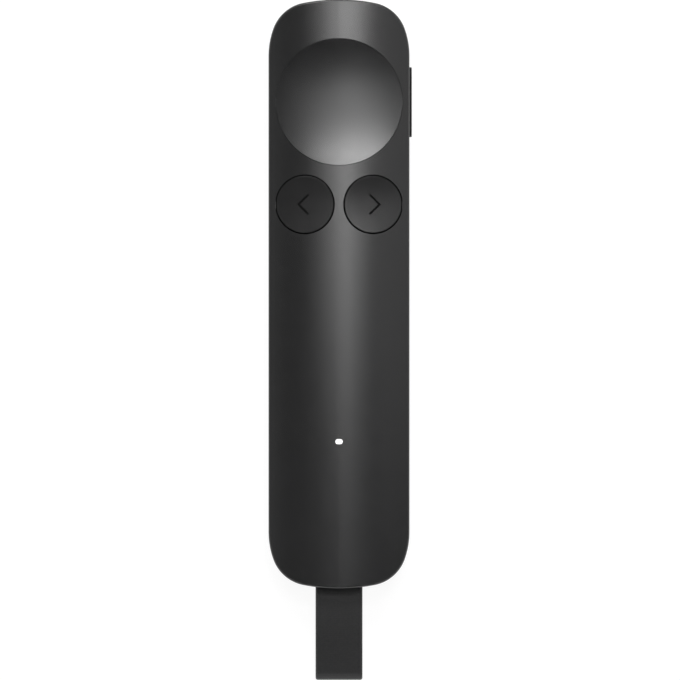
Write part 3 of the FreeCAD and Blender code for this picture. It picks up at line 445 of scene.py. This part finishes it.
battery_foil = new_material("pouch foil", Metallic=1.0)
crinkle = noise(battery_foil, 0.0025, detail=5.0)
foil_colour = tint(battery_foil, crinkle, dark=(0.6, 0.6, 0.62), light=(0.78, 0.78, 0.79))
feed(battery_foil, "Base Color", foil_colour)
feed(battery_foil, "Roughness", spread(battery_foil, crinkle, low=0.3, high=0.45))
relief(battery_foil, crinkle, depth=0.0002)
dress(battery_foil, "battery_cell")

adhesive = moulded(
    "foam tape",
    dark=(0.68, 0.68, 0.63),
    light=(0.82, 0.82, 0.78),
    gloss=(0.6, 0.75),
    grain=0.0003,
    depth=0.00002,
)
dress(adhesive, "battery_adhesive", "haptic_adhesive")


# Strap
# One length of 10 mm polyester webbing, looped round the steel pin in the receiver, out of the tail
# and back from its fold. It is woven tight and flat with fine ribs across it and closed selvedges.

webbing_width = 0.010
webbing_thickness = 0.001
layer_gap = 0.0001
pin_bend = 0.00125
blend_radius = 0.003
fold_radius = 0.00185
droop_radius = 0.060
droop_turn = math.radians(12.0)
strap_straight = 0.0004
strap_reach = 0.01966
body_tail_y = round(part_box("top_shell")[0].y, 6)
pin_y, pin_z = middle_of("strap_pin")[1:]


def arc_run(centre, out, up, radius, start, finish, step=0.0001, fewest=8):
    """Points of an arc: its centre plus the radius times cosine along out and sine along up."""
    count = max(int(abs(finish - start) * radius / step), fewest)
    angle = np.linspace(start, finish, count)[:, None]
    return centre + radius * (np.cos(angle) * out + np.sin(angle) * up)


def strap_loop():
    """Middle line of the webbing seen from the side, as Y and Z, from the pin round the fold and back.

    It is arcs joined by straight runs. The two layers come together behind the pin, lie on each other
    as they droop by one turn, and part again round the fold at the end. Where two arcs that bend
    opposite ways meet, their centres are the sum of both radii apart, which gives the angle there.
    """
    out = np.array((-1.0, 0.0))
    up = np.array((0.0, 1.0))
    half = (webbing_thickness + layer_gap) / 2
    pin_angle = math.acos((half + blend_radius) / (pin_bend + blend_radius))
    fold_tilt = math.asin((2 * half + blend_radius - fold_radius) / (fold_radius + blend_radius))
    pin = np.array((pin_y, pin_z))
    parallel = pin + out * ((pin_bend + blend_radius) * math.sin(pin_angle))
    droop_start = np.array((body_tail_y - strap_straight, pin_z))
    droop_centre = droop_start - up * droop_radius
    out_end = out * math.cos(droop_turn) - up * math.sin(droop_turn)
    up_end = out * math.sin(droop_turn) + up * math.cos(droop_turn)
    fold_blend = (fold_radius + blend_radius) * math.cos(fold_tilt)
    fold_drop = fold_radius - half
    fold_out = strap_reach - strap_straight - fold_radius - webbing_thickness / 2
    run = (fold_out - (droop_radius - fold_drop) * math.sin(droop_turn)) / math.cos(droop_turn) - fold_blend
    apart = droop_centre + up_end * droop_radius + out_end * run
    fold_centre = apart + out_end * fold_blend - up_end * fold_drop
    rise = half + blend_radius
    quarter = math.pi / 2
    runs = (
        arc_run(parallel + up * rise, out, up, blend_radius, 3 * quarter - pin_angle, 3 * quarter),
        arc_run(droop_centre, out, up, droop_radius + half, quarter, quarter - droop_turn),
        arc_run(fold_centre, out_end, up_end, fold_radius, quarter, fold_tilt - 2 * quarter),
        arc_run(apart - up_end * rise, out_end, up_end, blend_radius, fold_tilt, quarter),
        arc_run(droop_centre, out, up, droop_radius - half, quarter - droop_turn, quarter),
        arc_run(parallel - up * rise, out, up, blend_radius, quarter, quarter + pin_angle),
        arc_run(pin, out, up, pin_bend, 3 * quarter + pin_angle, quarter - pin_angle),
    )
    return np.concatenate(runs)


def even_steps(line, count, least_gap=1e-9):
    """The closed line cut into equal steps, and its length; points that repeat are left out."""
    closed = np.vstack((line, line[:1]))
    gap = np.linalg.norm(np.diff(closed, axis=0), axis=1)
    closed = closed[np.concatenate(((True,), gap > least_gap))]
    distance = np.concatenate(((0.0,), np.cumsum(np.linalg.norm(np.diff(closed, axis=0), axis=1))))
    steps = np.arange(count) * distance[-1] / count
    points = np.stack([np.interp(steps, distance, closed[:, axis]) for axis in (0, 1)], axis=1)
    return points, distance[-1]


def webbing_rim(count):
    """The webbing's cut section: a flat band between two half round selvedges.

    Each point is the selvedge's radius times the cosine and sine of its turn, moved out by the flat.
    """
    angle = 2 * math.pi * np.arange(count) / count
    selvedge = webbing_thickness / 2
    flat = webbing_width / 2 - selvedge
    round_x = np.cos(angle) * selvedge + np.sign(np.cos(angle)) * flat
    round_z = np.sin(angle) * selvedge
    return round_x, round_z


def loop_surface(name, material, along_count=900, rim_count=64):
    """The section carried round the loop: place is the middle line plus the section's two parts.

    One part runs across the body and the other along the line's normal. The map gives each corner its
    distance along the webbing, in metres, and its share of the way round the section.
    """
    line, length = even_steps(strap_loop(), along_count)
    ahead = np.roll(line, -1, axis=0) - np.roll(line, 1, axis=0)
    ahead /= np.linalg.norm(ahead, axis=1)[:, None]
    normal = np.stack((-ahead[:, 1], ahead[:, 0]), axis=1)
    rim_x, rim_z = webbing_rim(rim_count)
    grid = np.empty((along_count, rim_count, 3))
    grid[..., 0] = rim_x
    grid[..., 1] = line[:, None, 0] + normal[:, None, 0] * rim_z
    grid[..., 2] = line[:, None, 1] + normal[:, None, 1] * rim_z
    row = np.arange(along_count)[:, None]
    column = np.arange(rim_count)[None]
    row_start = row * rim_count
    next_row_start = (row + 1) % along_count * rim_count
    next_column = (column + 1) % rim_count
    corners = (
        row_start + column, next_row_start + column, next_row_start + next_column, row_start + next_column
    )
    faces = np.stack(corners, axis=2)
    mesh = bpy.data.meshes.new(name)
    mesh.from_pydata(grid.reshape(-1, 3), [], faces.reshape(-1, 4))
    around = mesh.uv_layers.new(name="webbing")
    along_place = np.stack(np.broadcast_arrays(row, row + 1, row + 1, row), axis=2) * length / along_count
    across_place = np.stack(np.broadcast_arrays(column, column, column + 1, column + 1), axis=2) / rim_count
    places = np.stack(np.broadcast_arrays(along_place, across_place), axis=3)
    around.data.foreach_set("uv", places.reshape(-1))
    mesh.polygons.foreach_set("use_smooth", np.ones(len(mesh.polygons), bool))
    mesh.materials.append(material)
    mesh.update()
    piece = bpy.data.objects.new(name, mesh)
    bpy.context.scene.collection.objects.link(piece)
    return piece, length


rib_pitch = 0.00045
rib_height = 0.000005
webbing = new_material("woven webbing", IOR=1.45)
webbing_map = add_node(webbing, "ShaderNodeUVMap", uv_map="webbing")
webbing_distance = place_along(webbing, "X", webbing_map.outputs["UV"])
rib_wave = reckon(webbing, "SINE", reckon(webbing, "MULTIPLY", webbing_distance, 2 * math.pi / rib_pitch))
ribs = spread(webbing, rib_wave, 0, 1, start=-1, finish=1)
threads = clouds(webbing, grain=0.0004)
thread_colour = tint(webbing, threads, dark=(0.019, 0.019, 0.0195), light=(0.025, 0.025, 0.0255))
feed(webbing, "Base Color", thread_colour)
feed(webbing, "Roughness", spread(webbing, ribs, low=0.55, high=0.45, start=0, finish=1))
relief(webbing, ribs, rib_height)

strap, strap_length = loop_surface("webbing_loop", webbing)
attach(strap, "receiver")
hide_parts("strap")


# Table
# Plain white sweep of paper, flat under the object and rising far round it by the square of the
# distance past the flat. The camera, gloss and glass see it white, and it lights as pale paper does.

sweep_reach = 6.5
sweep_flat = 4.5
sweep_count = 97
steps = np.linspace(-sweep_reach, sweep_reach, sweep_count)
sweep_x, sweep_y = np.meshgrid(steps, steps, indexing="ij")
sweep_z = np.clip(np.hypot(sweep_x, sweep_y) - sweep_flat, 0, None) ** 2
sweep_points = np.stack((sweep_x, sweep_y, sweep_z), axis=2).reshape(-1, 3)
cell_row = np.arange(sweep_count - 1)
cell = (cell_row[:, None] * sweep_count + cell_row[None]).reshape(-1, 1)
sweep_faces = cell + np.array((0, sweep_count, sweep_count + 1, 1))
sweep_mesh = bpy.data.meshes.new("paper_sweep")
sweep_mesh.from_pydata(sweep_points, [], sweep_faces)
sweep_mesh.polygons.foreach_set("use_smooth", np.ones(len(sweep_mesh.polygons), bool))
sweep = bpy.data.objects.new("paper_sweep", sweep_mesh)
bpy.context.scene.collection.objects.link(sweep)

paper = bpy.data.materials.new("white paper")
paper.use_nodes = True
paper.node_tree.nodes.clear()
paper_matt = add_node(paper, "ShaderNodeBsdfDiffuse", Color=(0.8, 0.8, 0.8, 1))
paper_shadow = add_node(paper, "ShaderNodeBsdfDiffuse", Color=(0.2, 0.2, 0.2, 1))
paper_glow = add_node(paper, "ShaderNodeEmission", Color=(1, 1, 1, 1), Strength=0.91)
paper_seen = add_node(paper, "ShaderNodeAddShader")
join(paper, paper_shadow.outputs[0], paper_seen.inputs[0])
join(paper, paper_glow.outputs[0], paper_seen.inputs[1])
ray = add_node(paper, "ShaderNodeLightPath").outputs
looking = reckon(paper, "MAXIMUM", ray["Is Camera Ray"], ray["Is Glossy Ray"])
looking = reckon(paper, "MAXIMUM", looking, ray["Is Transmission Ray"])
paper_mix = add_node(paper, "ShaderNodeMixShader")
join(paper, looking, paper_mix.inputs[0])
join(paper, paper_matt.outputs[0], paper_mix.inputs[1])
join(paper, paper_seen.outputs[0], paper_mix.inputs[2])
paper_out = add_node(paper, "ShaderNodeOutputMaterial")
join(paper, paper_mix.outputs[0], paper_out.inputs["Surface"])
sweep_mesh.materials.append(paper)


# Studio lamps
# Level soft boxes hang overhead, brightest towards the nose, and large dim ones stand round the
# table. A narrow one high beyond the nose lights the edges that face it, and the room adds a faint
# even light.

def soft_box(name, place, size, radiance, turn=(0, 0, 0)):
    """Rectangular lamp, level unless it is turned; its power is four times its area times its radiance."""
    lamp = bpy.data.lights.new(name, "AREA")
    lamp.shape = "RECTANGLE"
    lamp.size, lamp.size_y = size
    lamp.energy = 4 * size[0] * size[1] * radiance
    box = bpy.data.objects.new(name, lamp)
    box.location = place
    box.rotation_euler = turn
    box.visible_camera = False
    bpy.context.scene.collection.objects.link(box)


# Each overhead lamp has its place, its width and depth, and its radiance.
overhead = {
    "soft_box": ((0.04, 0.12, 0.80), (0.24, 0.24), 0.9),
    "soft_box_right": ((0.08, 0.168, 0.81), (0.16, 0.145), 3.3),
    "soft_box_nose": ((0.04, 0.207, 0.82), (0.24, 0.08), 8.2),
    "soft_box_heart": ((0.04, 0.20, 0.83), (0.08, 0.08), 3.4),
    "soft_box_middle": ((0.04, 0.04, 0.81), (0.24, 0.08), 1.0),
    "soft_box_tail": ((0.04, 0.04, 0.82), (0.08, 0.08), 2.5),
    "soft_box_far_tail": ((0.04, -0.04, 0.82), (0.08, 0.08), 0.3),
    "soft_box_left": ((-0.04, 0.12, 0.83), (0.08, 0.08), 1.5),
    "soft_box_corner": ((0.12, 0.20, 0.84), (0.08, 0.08), 1.4),
    "fill_near_left": ((-0.12, 0.12, 0.80), (0.08, 0.24), 0.75),
    "fill_near_right": ((0.20, 0.08, 0.80), (0.08, 0.16), 0.55),
    "fill_right": ((0.40, 0.04, 0.80), (0.32, 0.16), 0.56),
    "fill_left": ((-0.27, 0.04, 0.80), (0.22, 0.48), 0.06),
    "fill_far_left": ((-0.50, 0.04, 0.80), (0.24, 0.48), 0.25),
}
for name, (place, size, radiance) in overhead.items():
    soft_box(name, place, size, radiance)

# Each standing lamp has its bearing from the tail in degrees, how far out and how high it is, its
# width and height, and its radiance. It leans to face the object.
standing = {
    "low_nose": (180, 1.3, 0.75, (1.4, 1.2), 0.3),
    "low_tail": (0, 1.3, 0.75, (1.4, 1.2), 0.4),
    "low_right": (90, 1.3, 0.75, (1.4, 1.2), 0.5),
    "low_left": (270, 1.3, 0.75, (1.4, 1.2), 0.4),
    "high_nose": (180, 0.6, 0.8, (0.8, 0.25), 4.0),
}
for name, (bearing, reach, height, size, radiance) in standing.items():
    bearing = math.radians(bearing)
    place = (reach * math.sin(bearing), -reach * math.cos(bearing), height)
    soft_box(name, place, size, radiance, turn=(math.atan2(reach, height), 0, bearing))

room = bpy.data.worlds.new("room")
room.use_nodes = True
room_light = room.node_tree.nodes["Background"].inputs
room_light["Color"].default_value = (1, 1, 1, 1)
room_light["Strength"].default_value = 0.07
bpy.context.scene.world = room


# Camera
# A long lens straight above the middle of the photograph. At the height of the crown its 680 pixels
# show 144.7 mm.

view_width = 0.14468
view_middle = (0.00021, -0.00979)
crown_z = 0.0115
lens_height = 3.0
sensor_width = 36.0
lens = bpy.data.cameras.new("camera")
lens.sensor_width = sensor_width
lens.lens = sensor_width * lens_height / view_width
lens.clip_end = 20.0
camera = bpy.data.objects.new("camera", lens)
camera.location = (*view_middle, crown_z + lens_height)
bpy.context.scene.collection.objects.link(camera)
bpy.context.scene.camera = camera
bpy.context.scene.view_settings.view_transform = "Standard"
